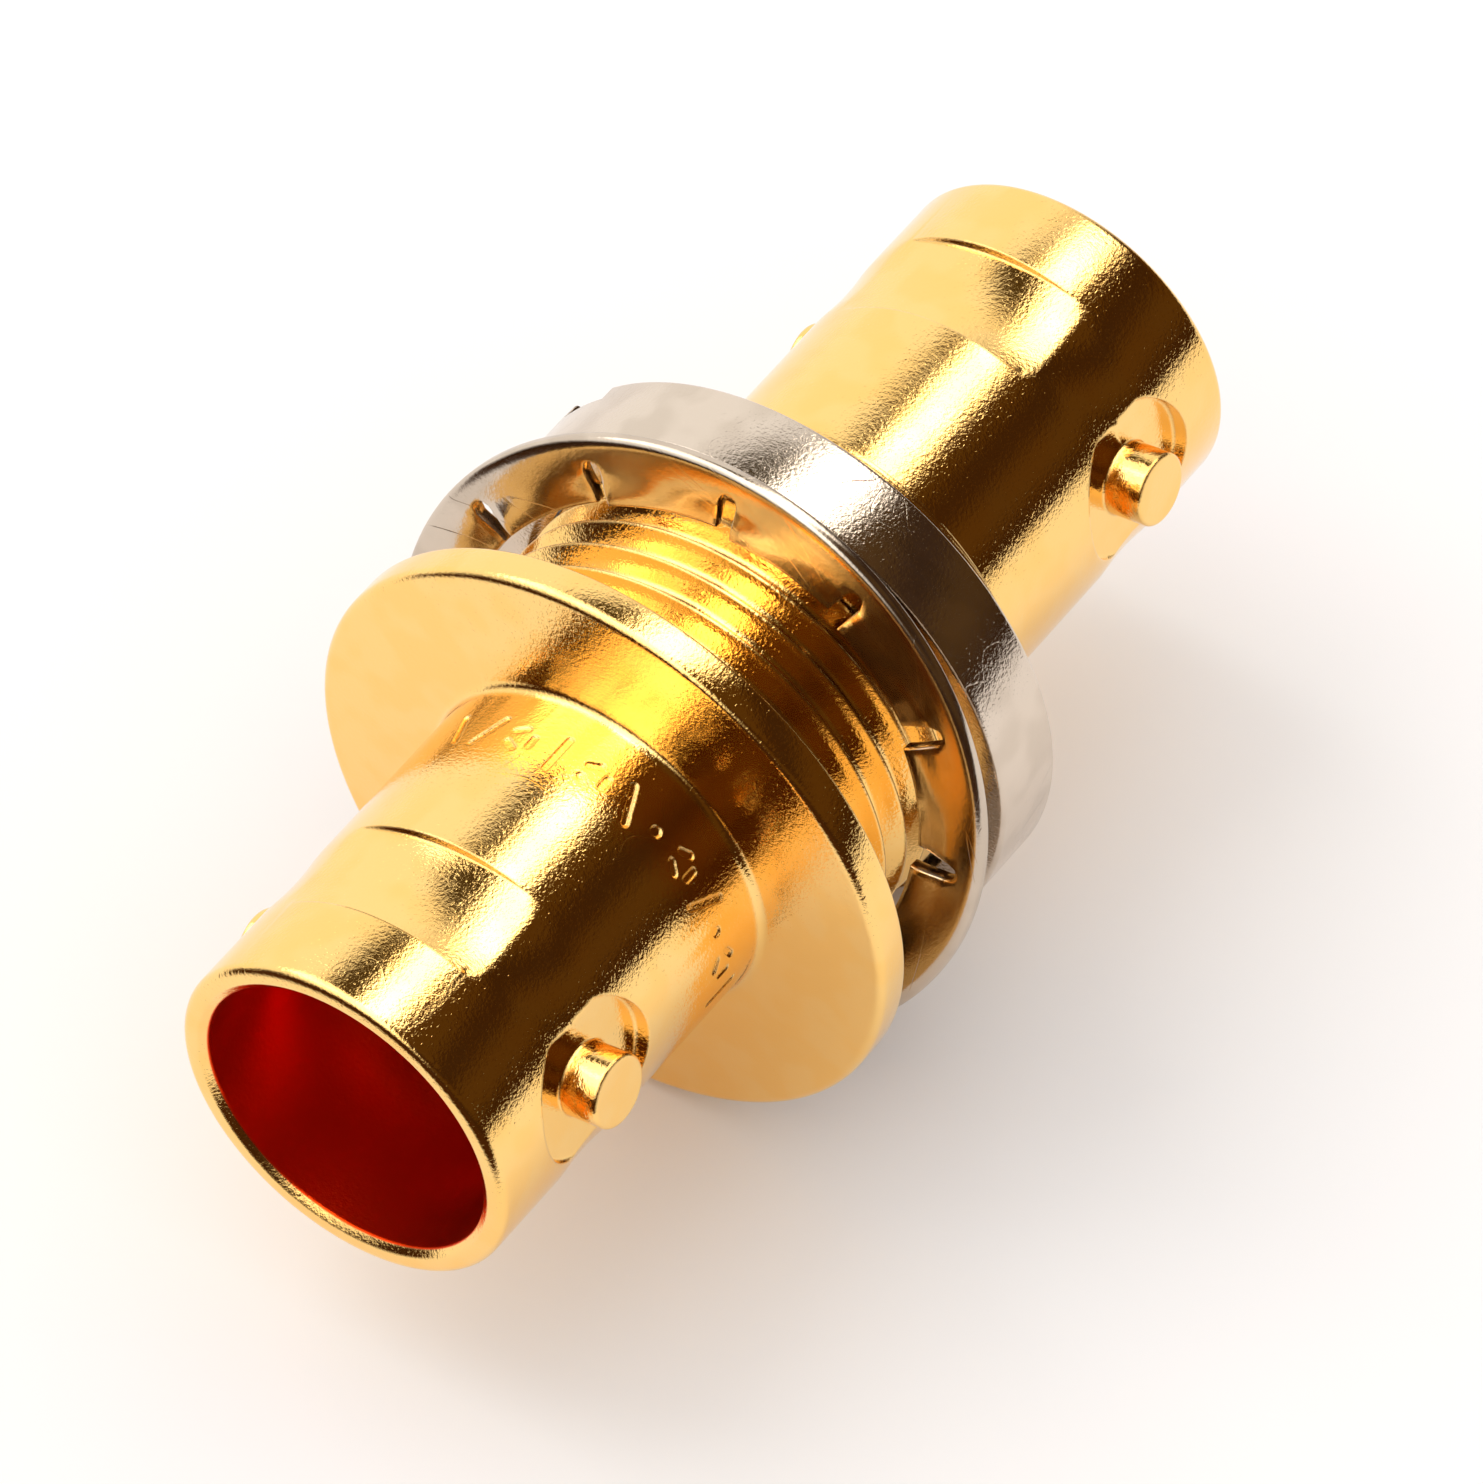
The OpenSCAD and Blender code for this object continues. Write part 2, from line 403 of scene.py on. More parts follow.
def cutThread(bm, settings, columns):
    # rows follow the helix, and are held between the two ends
    section = settings["section"]
    rowsPerTurn = len(section)
    pitch = settings["pitch"]
    above = math.ceil((settings["top"] - settings["crestHeight"]) / pitch) + 1
    turns = math.ceil((settings["top"] - settings["low"]) / pitch) + 3
    grid = []
    for column in range(columns):
        angle = 2 * math.pi * column / columns
        line = []
        for row in range(turns * rowsPerTurn):
            share, lift = section[row % rowsPerTurn]
            height = settings["crestHeight"] + (above - row // rowsPerTurn - share) * pitch
            height += pitch * column / columns
            nearEnd = min(settings["top"] - height, height - settings["low"]) / settings["runOut"]
            fade = min(1.0, max(0.0, nearEnd))
            radius = settings["rootRadius"] + (settings["crestRadius"] - settings["rootRadius"]) * lift * fade
            height = min(settings["top"], max(settings["low"], height))
            spot = (radius * math.cos(angle) * mm, radius * math.sin(angle) * mm, height * mm)
            line.append(bm.verts.new(spot))
        grid.append(line)
    for column in range(columns):
        left = grid[column]
        right = grid[(column + 1) % columns]
        shift = 0 if column + 1 < columns else rowsPerTurn
        for row in range(len(left) - 1):
            a = max(0, row - shift)
            b = max(0, row + 1 - shift)
            corners = [left[row], left[row + 1], right[b], right[a]]
            if a == b:
                corners = corners[:3]
            bm.faces.new(corners)


markShape = {
    "height": 22.35,
    "depth": 0.05,
    "width": 0.2,
    # kind, degrees around the barrel, length, slant in degrees
    "marks": (("bar", -62, 1.25, 24), ("bar", -74, 1.25, -24), ("triangle", -86, 0.5, 0),
              ("bar", -99, 1.25, 0), ("triangle", -112, 0.5, 0), ("bar", -125, 1.25, 24),
              ("dot", -136, 0.3, 0), ("triangle", -149, 0.5, 0), ("bar", -163, 1.25, -24),
              ("dot", -174, 0.3, 0), ("triangle", -187, 0.5, 0), ("bar", -200, 1.25, 0)),
    "steps": 10,
}


def roundLine(length, width, steps):
    # outline of a line with round ends, in a flat frame
    points = []
    for end in (1, -1):
        for step in range(steps + 1):
            a = math.pi * step / steps - math.pi / 2
            points.append((end * (length / 2 - width / 2) + end * math.cos(a) * width / 2,
                           end * math.sin(a) * width / 2))
    return points


def punchMarks(piece, settings):
    # plain index marks around the barrel: strokes, dots and small triangles that say nothing
    barrel = sizes["barrelRadius"]
    tools = bmesh.new()

    def prism(outline, toPlace):
        low = [tools.verts.new(toPlace @ Vector(((barrel - settings["depth"]) * mm, x * mm, y * mm)))
               for x, y in outline]
        high = [tools.verts.new(toPlace @ Vector(((barrel + 0.3) * mm, x * mm, y * mm))) for x, y in outline]
        count = len(outline)
        for index in range(count):
            beside = (index + 1) % count
            tools.faces.new((low[index], low[beside], high[beside], high[index]))
        tools.faces.new(list(reversed(low)))
        tools.faces.new(high)

    steps = settings["steps"]
    for kind, angle, length, slant in settings["marks"]:
        toPlace = (Matrix.Rotation(math.radians(angle), 4, "Z")
                   @ Matrix.Translation((0, 0, settings["height"] * mm))
                   @ Matrix.Rotation(math.radians(90 + slant), 4, "X"))
        if kind == "bar":
            prism(roundLine(length, settings["width"], steps), toPlace)
        elif kind == "dot":
            prism(roundLine(length, length, steps), toPlace)
        else:
            for side in range(3):
                a = 2 * math.pi * side / 3
                aside = Matrix.Rotation(a, 4, "X") @ Matrix.Translation((0, 0, length * mm / 1.6))
                prism(roundLine(length, settings["width"], steps), toPlace @ aside)
    carve(piece, finishMesh("punch", tools), "DIFFERENCE")


def makeFrontShell():
    s = sizes
    columns = turnedDetail["columns"]
    steps = turnedDetail["cornerSteps"]
    bm = bmesh.new()
    rings = [(radius, s["length"] - depth)
             for radius, depth in socketRings(s["length"] - s["middle"], steps, -s["rimRise"])]
    top, low = s["flangeTop"], s["flangeLow"]
    lower = [
        (s["barrelRadius"], top, 0.25), (s["flangeRadius"], top, 0.24), (s["flangeRadius"], low, 0.09),
        (threadShape["rootRadius"], low, 0.06), (threadShape["rootRadius"], threadShape["top"], 0),
        (threadShape["rootRadius"], threadShape["low"], 0), (threadShape["rootRadius"], 10.69, 0),
        (s["barrelRadius"], 10.69, 0), (s["barrelRadius"], s["middle"], 0), (s["coreRadius"], s["middle"], 0),
        (s["coreRadius"], 25, 0), (s["barrelRadius"], 25, 0),
    ]
    path = roundedPath(lower, steps)[:-2]
    split = min(range(len(path)), key=lambda i: abs(path[i][0] - threadShape["rootRadius"])
                + abs(path[i][1] - threadShape["top"]))
    spinRings(bm, rings + path[:split + 1], columns, False)
    spinRings(bm, path[split + 1:] + rings[:1], columns, False)
    cutThread(bm, threadShape, columns)
    piece = finishMesh("frontShell", bm, merge=1e-7)
    millLugs(piece, s["length"] - lugShape["depth"])
    punchMarks(piece, markShape)
    smoothPiece(piece, turnedDetail)
    return place(piece, "front_shell", "shell", "gold_plating")


def makeRearShell():
    s = sizes
    bm = bmesh.new()
    rings = socketRings(s["middle"], turnedDetail["cornerSteps"])
    rings.append((s["barrelRadius"], s["middle"]))
    spinRings(bm, rings, turnedDetail["columns"], True)
    piece = finishMesh("rearShell", bm, merge=1e-7)
    millLugs(piece, lugShape["depth"])
    smoothPiece(piece, turnedDetail)
    return place(piece, "rear_shell", "shell", "gold_plating")


nutShape = {
    "boreRadius": 6.32,
    "radius": 7.825,
    "low": 12.25,
    "top": 14.53,
    "rounding": 0.13,
    "boreBevel": 0.3,
    "slotAngle": -49.0,
    "slotWidth": 1.8,
    "slotDepth": 0.55,
    "slotCentre": 7.2,       # middle of the slots' cutter, from the axis
    "slotReach": 4,          # its length along the radius
}


def makeNut():
    n = nutShape
    bevel = n["boreBevel"]
    corners = [
        (n["boreRadius"], n["low"] + bevel, 0.04), (n["boreRadius"] + bevel, n["low"], 0.04),
        (n["radius"], n["low"], n["rounding"]), (n["radius"], n["top"], n["rounding"]),
        (n["boreRadius"] + bevel, n["top"], 0.04), (n["boreRadius"], n["top"] - bevel, 0.04),
    ]
    bm = bmesh.new()
    spinRings(bm, roundedPath(corners, turnedDetail["cornerSteps"]), turnedDetail["columns"], True)
    piece = finishMesh("ringNut", bm, merge=1e-7)
    slots = bmesh.new()
    for turn in (0, 180):
        box = bmesh.ops.create_cube(slots, size=1.0)["verts"]
        size = Matrix.Diagonal((n["slotReach"] * mm, n["slotWidth"] * mm, 2 * n["slotDepth"] * mm, 1))
        toSide = Matrix.Rotation(math.radians(n["slotAngle"] + turn), 4, "Z")
        toRim = Matrix.Translation((n["slotCentre"] * mm, 0, n["low"] * mm))
        bmesh.ops.transform(slots, matrix=toSide @ toRim @ size, verts=box)
    carve(piece, finishMesh("slots", slots), "DIFFERENCE")
    smoothPiece(piece, turnedDetail)
    return place(piece, "ring_nut", "nut", "nickel_nut")


washerShape = {
    "radius": 8.525,
    "tipRadius": 6.66,
    "rootRadius": 7.61,      # where the sides of the slots end and their round ends begin
    "slotWidth": 0.5,
    "teeth": 12,
    "twist": 4.5,            # degrees, at the tip of a tooth
    "thickness": 0.4,
    "slotAngle": -41.0,
    "lowSide": -111.0,
    "lean": 12.0,
    "shift": (0.09, -0.06),
    "height": 16.85,
    "toothColumns": 12,
    "slotColumns": 6,
    "toothRows": 9,
    "lip": ((7.95, 0.0), (8.2, 0.0), (8.3, -0.005), (8.39, -0.025), (8.46, -0.06), (8.505, -0.105),
            (8.525, -0.16)),    # radius and drop of the front face out to the edge
    "edgeRounding": 0.05,
}


def makeWasher():
    w = washerShape
    bm = bmesh.new()
    sector = 2 * math.pi / w["teeth"]
    halfSlot = w["slotWidth"] / 2
    rows = w["toothRows"]
    front, back = {}, {}

    def point(key, x, y, z):
        front[key] = bm.verts.new((x * mm, y * mm, z * mm))
        backZ = z - w["thickness"]
        if key[0] == "rim" and key[2] >= 2:
            backZ = -w["thickness"] + max(0.0, (key[2] - 4) * 0.03)
        back[key] = bm.verts.new((x * mm, y * mm, backZ * mm))

    for tooth in range(w["teeth"]):
        centre = math.radians(w["slotAngle"]) + (tooth + 0.5) * sector
        across = Vector((-math.sin(centre), math.cos(centre)))
        outward = Vector((math.cos(centre), math.sin(centre)))
        for row in range(rows + 1):
            radius = w["tipRadius"] + (w["rootRadius"] - w["tipRadius"]) * row / rows
            half = math.asin(math.sin(sector / 2)) - math.asin(halfSlot / radius)
            grown = min(1.0, (w["rootRadius"] + 0.1 - radius) / 0.9)
            grown = grown * grown * (3 - 2 * grown) if grown > 0 else 0.0
            for column in range(w["toothColumns"] + 1):
                a = half * (2 * column / w["toothColumns"] - 1)
                spot = outward * (radius * math.cos(a)) + across * (radius * math.sin(a))
                z = radius * math.sin(a) * math.tan(math.radians(w["twist"]) * grown)
                point(("tooth", tooth, row, column), spot.x, spot.y, z)
        rimColumns = w["toothColumns"] + w["slotColumns"]
        halfRoot = sector / 2 - math.asin(halfSlot / w["rootRadius"])
        for column in range(rimColumns):
            if column <= w["toothColumns"]:
                a = halfRoot * (2 * column / w["toothColumns"] - 1)
                start = None
            else:
                share = (column - w["toothColumns"]) / w["slotColumns"]
                a = halfRoot + (sector - 2 * halfRoot) * share
                offset = w["rootRadius"] * math.sin(a - sector / 2)
                start = w["rootRadius"] + math.sqrt(max(0.0, halfSlot ** 2 - offset ** 2))
            if start is None:
                front[("rim", tooth * rimColumns + column, 0)] = front[("tooth", tooth, rows, column)]
                back[("rim", tooth * rimColumns + column, 0)] = back[("tooth", tooth, rows, column)]
            for level, (radius, drop) in enumerate(((start, 0.0),) + w["lip"]):
                if level == 0 and start is None:
                    continue
                spot = outward * (radius * math.cos(a)) + across * (radius * math.sin(a))
                point(("rim", tooth * rimColumns + column, level), spot.x, spot.y, drop)

    def quad(keys):
        bm.faces.new([front[k] for k in keys])
        bm.faces.new([back[k] for k in reversed(keys)])

    total = w["teeth"] * (w["toothColumns"] + w["slotColumns"])
    levels = len(w["lip"]) + 1
    for column in range(total):
        beside = (column + 1) % total
        for level in range(levels - 1):
            quad([("rim", column, level), ("rim", beside, level),
                  ("rim", beside, level + 1), ("rim", column, level + 1)])
    for tooth in range(w["teeth"]):
        for row in range(rows):
            for column in range(w["toothColumns"]):
                quad([("tooth", tooth, row, column), ("tooth", tooth, row, column + 1),
                      ("tooth", tooth, row + 1, column + 1), ("tooth", tooth, row + 1, column)])
    partner = {front[k]: back[k] for k in front}
    frontVerts = set(front.values())
    rim = {front[("rim", column, levels - 1)] for column in range(total)}
    openEdges = [edge for edge in bm.edges
                 if len(edge.link_faces) == 1 and all(vert in frontVerts for vert in edge.verts)]
    crisp = []
    for edge in openEdges:
        a, b = edge.verts
        bm.faces.new((a, b, partner[b], partner[a]))
        if a not in rim:
            crisp.append(edge)
            crisp.append(bm.edges.get((partner[a], partner[b])))
    bmesh.ops.recalc_face_normals(bm, faces=bm.faces)
    bmesh.ops.bevel(bm, geom=crisp, offset=w["edgeRounding"] * mm, segments=2, profile=0.5, affect="EDGES",
                    clamp_overlap=True)
    lowSide = math.radians(w["lowSide"])
    lay = (Matrix.Translation((w["shift"][0] * mm, w["shift"][1] * mm, w["height"] * mm))
           @ Matrix.Rotation(lowSide, 4, "Z") @ Matrix.Rotation(math.radians(w["lean"]), 4, "Y")
           @ Matrix.Rotation(-lowSide, 4, "Z"))
    bmesh.ops.transform(bm, matrix=lay, verts=bm.verts)
    piece = finishMesh("lockWasher", bm)
    smoothPiece(piece, turnedDetail)
    return place(piece, "lock_washer", "washer", "nickel_washer")


frontShell = makeFrontShell()
rearShell = makeRearShell()
print("shells made:", len(frontShell.data.polygons), len(rearShell.data.polygons))
ringNut = makeNut()
lockWasher = makeWasher()
print("nut and washer made:", len(ringNut.data.polygons), len(lockWasher.data.polygons))


# ---- effects that several finishes share ----

def makeAxisGroup():
    # radius, angle and height of a point about the adapter's axis, in metres and radians
    tree, given, out = newGroup("aroundAxis", [("Vector", vectorSocket, None)],
                                [("Radius", floatSocket), ("Angle", floatSocket),
                                 ("Height", floatSocket), ("Unrolled", vectorSocket)])
    split = addNode(tree, "ShaderNodeSeparateXYZ", Vector=given["Vector"]).outputs
    square = calc(tree, "ADD", calc(tree, "MULTIPLY", split[0], split[0]),
                  calc(tree, "MULTIPLY", split[1], split[1]))
    radius = calc(tree, "SQRT", square)
    angle = calc(tree, "ARCTAN2", split[1], split[0])
    tree.links.new(radius, out["Radius"])
    tree.links.new(angle, out["Angle"])
    tree.links.new(split[2], out["Height"])
    unrolled = addNode(tree, "ShaderNodeCombineXYZ",
                       X=calc(tree, "MULTIPLY", angle, radius), Y=radius, Z=split[2])
    tree.links.new(unrolled.outputs[0], out["Unrolled"])
    return tree


def makePeelGroup():
    # the fine dimpled skin of thick plating, as a height from 0 to 1
    tree, given, out = newGroup("platingPeel",
                                [("Vector", vectorSocket, None), ("Cell", floatSocket, 0.00016),
                                 ("Fineness", floatSocket, 0.3)],
                                [("Height", floatSocket), ("Patch", floatSocket)])
    scale = calc(tree, "DIVIDE", 1.0, given["Cell"])
    scaled = addNode(tree, "ShaderNodeVectorMath", {"operation": "SCALE"},
                     i0=given["Vector"], Scale=scale).outputs[0]
    dimple = addNode(tree, "ShaderNodeTexNoise", None, Vector=scaled, Scale=1.0, Detail=2.0, Roughness=0.6)
    grit = addNode(tree, "ShaderNodeTexNoise", None, Vector=scaled, Scale=1.3, Detail=0.0)
    broad = addNode(tree, "ShaderNodeTexNoise", None, Vector=scaled, Scale=0.08, Detail=1.0, Roughness=0.5)
    specks = smoothStep(tree, grit.outputs[0], 0.66, 0.76)
    mixed = calc(tree, "ADD", dimple.outputs[0], calc(tree, "MULTIPLY", specks, given["Fineness"]))
    tree.links.new(mixed, out["Height"])
    tree.links.new(smoothStep(tree, broad.outputs[0], 0.4, 0.62), out["Patch"])
    return tree


def makeTurningGroup():
    # fine rings left by the lathe tool
    tree, given, out = newGroup("turningLines",
                                [("Radius", floatSocket, 0.0), ("Height", floatSocket, 0.0),
                                 ("Angle", floatSocket, 0.0), ("Pitch", floatSocket, 0.00008)],
                                [("Lines", floatSocket)])
    across = addNode(tree, "ShaderNodeCombineXYZ",
                     X=calc(tree, "DIVIDE", given["Radius"], given["Pitch"]),
                     Y=calc(tree, "DIVIDE", given["Height"], given["Pitch"]),
                     Z=calc(tree, "MULTIPLY", given["Angle"], 0.6)).outputs[0]
    lines = addNode(tree, "ShaderNodeTexNoise", None, Vector=across, Scale=1.0, Detail=2.0, Roughness=0.6)
    tree.links.new(lines.outputs[0], out["Lines"])
    return tree


def makeScratchGroup():
    # sparse thin scratches, 1 on a scratch
    tree, given, out = newGroup("fineScratches",
                                [("Vector", vectorSocket, None), ("Spread", floatSocket, 0.0012),
                                 ("Width", floatSocket, 0.02), ("Amount", floatSocket, 0.3)],
                                [("Mask", floatSocket)])
    masks = []
    for turn in ((0.4, 0.2, 0.7), (1.1, 0.9, -0.5), (-0.6, 1.3, 0.2)):
        turned = addNode(tree, "ShaderNodeMapping", {"vector_type": "POINT"},
                         Vector=given["Vector"], Rotation=turn, Scale=(1, 0.12, 1)).outputs[0]
        scaled = addNode(tree, "ShaderNodeVectorMath", {"operation": "SCALE"}, i0=turned,
                         Scale=calc(tree, "DIVIDE", 1.0, given["Spread"])).outputs[0]
        line = addNode(tree, "ShaderNodeTexNoise", None, Vector=scaled, Scale=1.0, Detail=0.0)
        gap = calc(tree, "ABSOLUTE", calc(tree, "SUBTRACT", line.outputs[0], 0.5))
        thin = calc(tree, "SUBTRACT", 1.0, calc(tree, "DIVIDE", gap, given["Width"]), clamp=True)
        where = addNode(tree, "ShaderNodeTexNoise", None, Vector=scaled, Scale=0.35, Detail=0.0)
        shown = smoothStep(tree, where.outputs[0], calc(tree, "SUBTRACT", 0.75, given["Amount"]), 0.8)
        masks.append(calc(tree, "MULTIPLY", thin, shown))
    both = calc(tree, "MAXIMUM", masks[0], calc(tree, "MAXIMUM", masks[1], masks[2]))
    tree.links.new(both, out["Mask"])
    return tree


def makeEdgeGroup():
    # 1 along a sharp edge, from how far the rounded normal leans off the plain one
    tree, given, out = newGroup("edgeWear",
                                [("Rounded Normal", vectorSocket, None), ("Vector", vectorSocket, None),
                                 ("Reach", floatSocket, 0.06)],
                                [("Mask", floatSocket), ("Burr", floatSocket)])
    plain = addNode(tree, "ShaderNodeNewGeometry").outputs["Normal"]
    lean = calc(tree, "SUBTRACT", 1.0, vectorCalc(tree, "DOT_PRODUCT", given["Rounded Normal"], plain))
    speckle = addNode(tree, "ShaderNodeTexNoise", None, Vector=given["Vector"], Scale=2200.0, Detail=2.0)
    worn = calc(tree, "MULTIPLY", calc(tree, "DIVIDE", lean, given["Reach"], clamp=True),
                smoothStep(tree, speckle.outputs[0], 0.35, 0.65))
    chips = addNode(tree, "ShaderNodeTexNoise", None, Vector=given["Vector"], Scale=5200.0, Detail=1.0)
    near = calc(tree, "MULTIPLY", calc(tree, "DIVIDE", lean, given["Reach"]), 3.0, clamp=True)
    tree.links.new(worn, out["Mask"])
    tree.links.new(calc(tree, "MULTIPLY", near, chips.outputs[0]), out["Burr"])
    return tree


axisGroup = makeAxisGroup()
peelGroup = makePeelGroup()
turningGroup = makeTurningGroup()
scratchGroup = makeScratchGroup()
edgeGroup = makeEdgeGroup()
print("shared effects made")


# ---- finishes ----

def startMaterial(name):
    material = bpy.data.materials.new(name)
    material.use_nodes = True
    tree = material.node_tree
    tree.nodes.clear()
    shader = tree.nodes.new("ShaderNodeBsdfPrincipled")
    output = tree.nodes.new("ShaderNodeOutputMaterial")
    tree.links.new(shader.outputs[0], output.inputs["Surface"])
    where = addNode(tree, "ShaderNodeTexCoord").outputs["Object"]
    return material, tree, shader, where


goldFinish = {
    "color": (1.0, 0.645, 0.225, 1),
    "patchColor": (1.0, 0.620, 0.195, 1),
    # painted shade: deep red standing for the reddened shade of light bouncing inside the bore
    "boreShadeColor": (0.88, 0.055, 0.004, 1),
    "wornColor": (1.0, 0.74, 0.36, 1),
    "roughness": 0.065,
    "boreRoughness": 0.3,
    "peelCell": 0.0001,
    "peelDepth": 8.5e-6,
    "turningDepth": 0.35e-6,
    "scratchDepth": 2.0e-6,
    "burrDepth": 14e-6,
    "edgeRadius": 0.09 * mm,
}


def makeGold(name, look, boreRadius=0.0):
    material, tree, shader, where = startMaterial(name)
    axis = useGroup(tree, axisGroup, Vector=where)
    peel = useGroup(tree, peelGroup, Vector=where, Cell=look["peelCell"], Fineness=0.16)
    turning = useGroup(tree, turningGroup, Radius=axis["Radius"], Height=axis["Height"], Angle=axis["Angle"],
                       Pitch=0.00006)
    scratches = useGroup(tree, scratchGroup, Vector=where, Spread=0.0016, Width=0.008, Amount=0.12)
    rounded = addNode(tree, "ShaderNodeBevel", {"samples": 4}, Radius=look["edgeRadius"]).outputs[0]
    edges = useGroup(tree, edgeGroup, Rounded_Normal=rounded, Vector=where, Reach=0.25)
    color = mixColor(tree, peel["Patch"], look["color"], look["patchColor"])
    color = mixColor(tree, calc(tree, "MULTIPLY", edges["Mask"], 0.5), color, look["wornColor"])
    rough = calc(tree, "MULTIPLY_ADD", turning["Lines"], 0.03, look["roughness"] - 0.015)
    # painted shade: inside the bore the gold is coloured deep red instead of gold
    if boreRadius:
        inShadedBore = smoothStep(tree, axis["Radius"], boreRadius + 0.01 * mm, boreRadius + 0.05 * mm, 1.0, 0.0)
        color = mixColor(tree, inShadedBore, color, look["boreShadeColor"])
        rough = calc(tree, "MULTIPLY_ADD", inShadedBore, look["boreRoughness"] - look["roughness"], rough)
    rough = calc(tree, "MULTIPLY_ADD", scratches["Mask"], 0.12, rough)
    height = calc(tree, "MULTIPLY", peel["Height"], look["peelDepth"])
    height = calc(tree, "MULTIPLY_ADD", turning["Lines"], look["turningDepth"], height)
    height = calc(tree, "MULTIPLY_ADD", scratches["Mask"], -look["scratchDepth"], height)
    height = calc(tree, "MULTIPLY_ADD", edges["Burr"], look["burrDepth"], height)
    bump = addNode(tree, "ShaderNodeBump", None, Strength=1.0, Distance=1.0, Height=height, Normal=rounded)
    tree.links.new(color, shader.inputs["Base Color"])
    tree.links.new(rough, shader.inputs["Roughness"])
    tree.links.new(bump.outputs[0], shader.inputs["Normal"])
    shader.inputs["Metallic"].default_value = 1.0
    return material


nickelFinish = {
    "color": (0.70, 0.595, 0.49, 1),
    "patchColor": (0.63, 0.53, 0.43, 1),
    "wornColor": (0.86, 0.80, 0.72, 1),
    "roughness": 0.12,
    "peelCell": 0.0001,
    "peelDepth": 8.0e-6,
    "turningDepth": 1.2e-6,
    "scratchDepth": 3.0e-6,
    "edgeRadius": 0.05 * mm,
}
# painted shade: the washer, held in shade between flange and nut, gets a darker nickel colour than the nut
washerShadedFinish = dict(nickelFinish, roughness=0.13, color=(0.57, 0.475, 0.38, 1), peelDepth=2.4e-6,
                    turningDepth=0.5e-6)


def makeNickel(name, look):
    material, tree, shader, where = startMaterial(name)
    axis = useGroup(tree, axisGroup, Vector=where)
    peel = useGroup(tree, peelGroup, Vector=where, Cell=look["peelCell"], Fineness=0.16)
    turning = useGroup(tree, turningGroup, Radius=axis["Radius"], Height=axis["Height"], Angle=axis["Angle"],
                       Pitch=0.00005)
    scratches = useGroup(tree, scratchGroup, Vector=axis["Unrolled"], Spread=0.0011, Width=0.012, Amount=0.2)
    rounded = addNode(tree, "ShaderNodeBevel", {"samples": 4}, Radius=look["edgeRadius"]).outputs[0]
    edges = useGroup(tree, edgeGroup, Rounded_Normal=rounded, Vector=where, Reach=0.25)
    color = mixColor(tree, peel["Patch"], look["color"], look["patchColor"])
    color = mixColor(tree, calc(tree, "MULTIPLY", edges["Mask"], 0.6), color, look["wornColor"])
    rough = calc(tree, "MULTIPLY_ADD", turning["Lines"], 0.1, look["roughness"] - 0.05)
    rough = calc(tree, "MULTIPLY_ADD", scratches["Mask"], 0.1, rough)
    height = calc(tree, "MULTIPLY", peel["Height"], look["peelDepth"])
    height = calc(tree, "MULTIPLY_ADD", turning["Lines"], look["turningDepth"], height)
    height = calc(tree, "MULTIPLY_ADD", scratches["Mask"], -look["scratchDepth"], height)
    bump = addNode(tree, "ShaderNodeBump", None, Strength=1.0, Distance=1.0, Height=height, Normal=rounded)
    tree.links.new(color, shader.inputs["Base Color"])
    tree.links.new(rough, shader.inputs["Roughness"])
    tree.links.new(bump.outputs[0], shader.inputs["Normal"])
    shader.inputs["Metallic"].default_value = 1.0
    return material


insulatorFinish = {
    "color": (0.86, 0.84, 0.78, 1),
    "darkColor": (0.74, 0.70, 0.62, 1),
    "roughness": 0.42,
    "turningDepth": 3.0e-6,
}


def makeInsulator(name, look):
    material, tree, shader, where = startMaterial(name)
    axis = useGroup(tree, axisGroup, Vector=where)
    peel = useGroup(tree, peelGroup, Vector=where, Cell=0.0003, Fineness=0.4)
    turning = useGroup(tree, turningGroup, Radius=axis["Radius"], Height=axis["Height"], Angle=axis["Angle"],
                       Pitch=0.00009)
    color = mixColor(tree, calc(tree, "MULTIPLY", turning["Lines"], 0.8), look["color"], look["darkColor"])
    rough = calc(tree, "MULTIPLY_ADD", peel["Height"], 0.15, look["roughness"] - 0.08)
    height = calc(tree, "MULTIPLY", turning["Lines"], look["turningDepth"])
    bump = addNode(tree, "ShaderNodeBump", None, Strength=1.0, Distance=1.0, Height=height)
    tree.links.new(color, shader.inputs["Base Color"])
    tree.links.new(rough, shader.inputs["Roughness"])
    tree.links.new(bump.outputs[0], shader.inputs["Normal"])
    return material


def dress(piece, material):
    if not piece.data.materials:
        piece.data.materials.append(material)
    for slot in piece.material_slots:
        slot.link = "OBJECT"
        slot.material = material


shellGold = makeGold("shellGold", goldFinish, boreRadius=4.1 * mm)
contactGold = makeGold("contactGold", dict(goldFinish, peelDepth=0.5e-6, roughness=0.12))
nutNickel = makeNickel("nutNickel", nickelFinish)
washerShadedNickel = makeNickel("washerShadedNickel", washerShadedFinish)
insulatorWhite = makeInsulator("insulatorWhite", insulatorFinish)
for piece, material in ((frontShell, shellGold), (rearShell, shellGold), (ringNut, nutNickel),
                        (lockWasher, washerShadedNickel), (nodesByName["centre_contact"], contactGold),
                        (nodesByName["front_insulator"], insulatorWhite),
                        (nodesByName["rear_insulator"], insulatorWhite)):
    dress(piece, material)
print("finishes made")


# ---- table, light and surroundings ----

